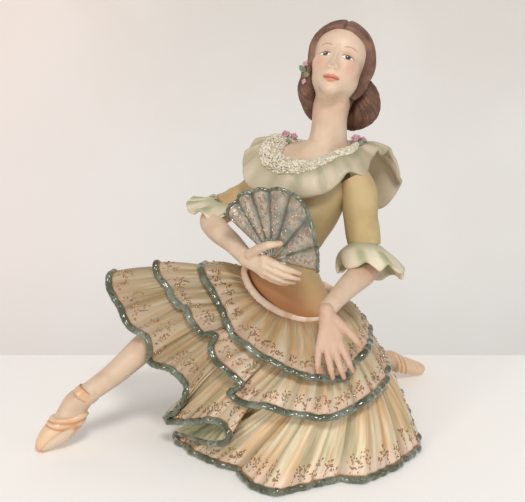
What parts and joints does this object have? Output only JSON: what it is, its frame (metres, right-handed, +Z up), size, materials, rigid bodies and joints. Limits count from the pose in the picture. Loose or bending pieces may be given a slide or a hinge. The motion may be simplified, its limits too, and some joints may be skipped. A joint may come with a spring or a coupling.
{
  "type": "souvenir figurine",
  "caption": "Porcelain dancer in a low lunge with a flounced skirt, frilled collar and open fan, standing on the flat foot of its hollow skirt.",
  "frame": {"origin": "centre of the flat round underside of the skirt body, on the table plane", "axes": "+Z up; -Y is the front, which the dancer faces; the stretched front leg points to -X"},
  "size_m": [0.201, 0.148, 0.2004],
  "materials": {
    "skirt_inside": "matte, unglazed bisque inside and under the skirt",
    "waist_pink": "matte bisque, pinkish cream",
    "skirt_paint": "matte bisque, brushed cream, peach, ochre and olive streaks",
    "green_glaze": "glossy dark green lustre glaze",
    "gold": "bright fired gold and copper enamel",
    "dress_ochre": "matte bisque, pale ochre",
    "skin": "matte bisque, pale flesh with blush",
    "hair": "matte bisque, auburn",
    "rose_pink": "matte bisque, rose pink",
    "leaf_green": "matte bisque, grey green",
    "frill_cream": "matte bisque, cream with green in the folds",
    "lace_white": "granular white porcelain lace",
    "fan_lustre": "silver-grey lustre",
    "fan_edge": "glossy green lustre",
    "shoe_satin": "satin bisque, peach"
  },
  "bodies": {
    "root": {"skirt_body": "skirt_inside", "waistband": "waist_pink", "flounce_upper": "skirt_paint", "flounce_middle": "skirt_paint", "flounce_lower": "skirt_paint", "trim_upper": "green_glaze", "trim_middle": "green_glaze", "trim_lower": "green_glaze", "gold_dots_upper": "gold", "gold_dots_middle": "gold", "gold_dots_lower": "gold", "bodice": "dress_ochre", "chest_and_neck": "skin", "head": "skin", "hair_cap": "hair", "hair_roll_right": "hair", "hair_roll_left": "hair", "hair_bun": "hair", "hair_rose": "rose_pink", "hair_leaves": "leaf_green", "collar_ruffle": "frill_cream", "lace_collar": "lace_white", "shoulder_rose_right": "rose_pink", "shoulder_rose_left": "rose_pink", "shoulder_leaves_right": "leaf_green", "shoulder_leaves_left": "leaf_green", "right_sleeve": "dress_ochre", "left_sleeve": "dress_ochre", "right_cuff": "frill_cream", "left_cuff": "frill_cream", "right_forearm": "skin", "left_forearm": "skin", "right_hand": "skin", "left_hand": "skin", "fan_leaf": "fan_lustre", "fan_rim": "fan_edge", "fan_sticks": "fan_lustre", "fan_rivet": "gold", "fan_jewels": "gold", "front_leg": "skin", "front_shoe": "shoe_satin", "front_shoe_ribbon": "shoe_satin", "back_leg": "skin", "back_shoe": "shoe_satin", "back_shoe_ribbon": "shoe_satin"}
  },
  "joints": []
}
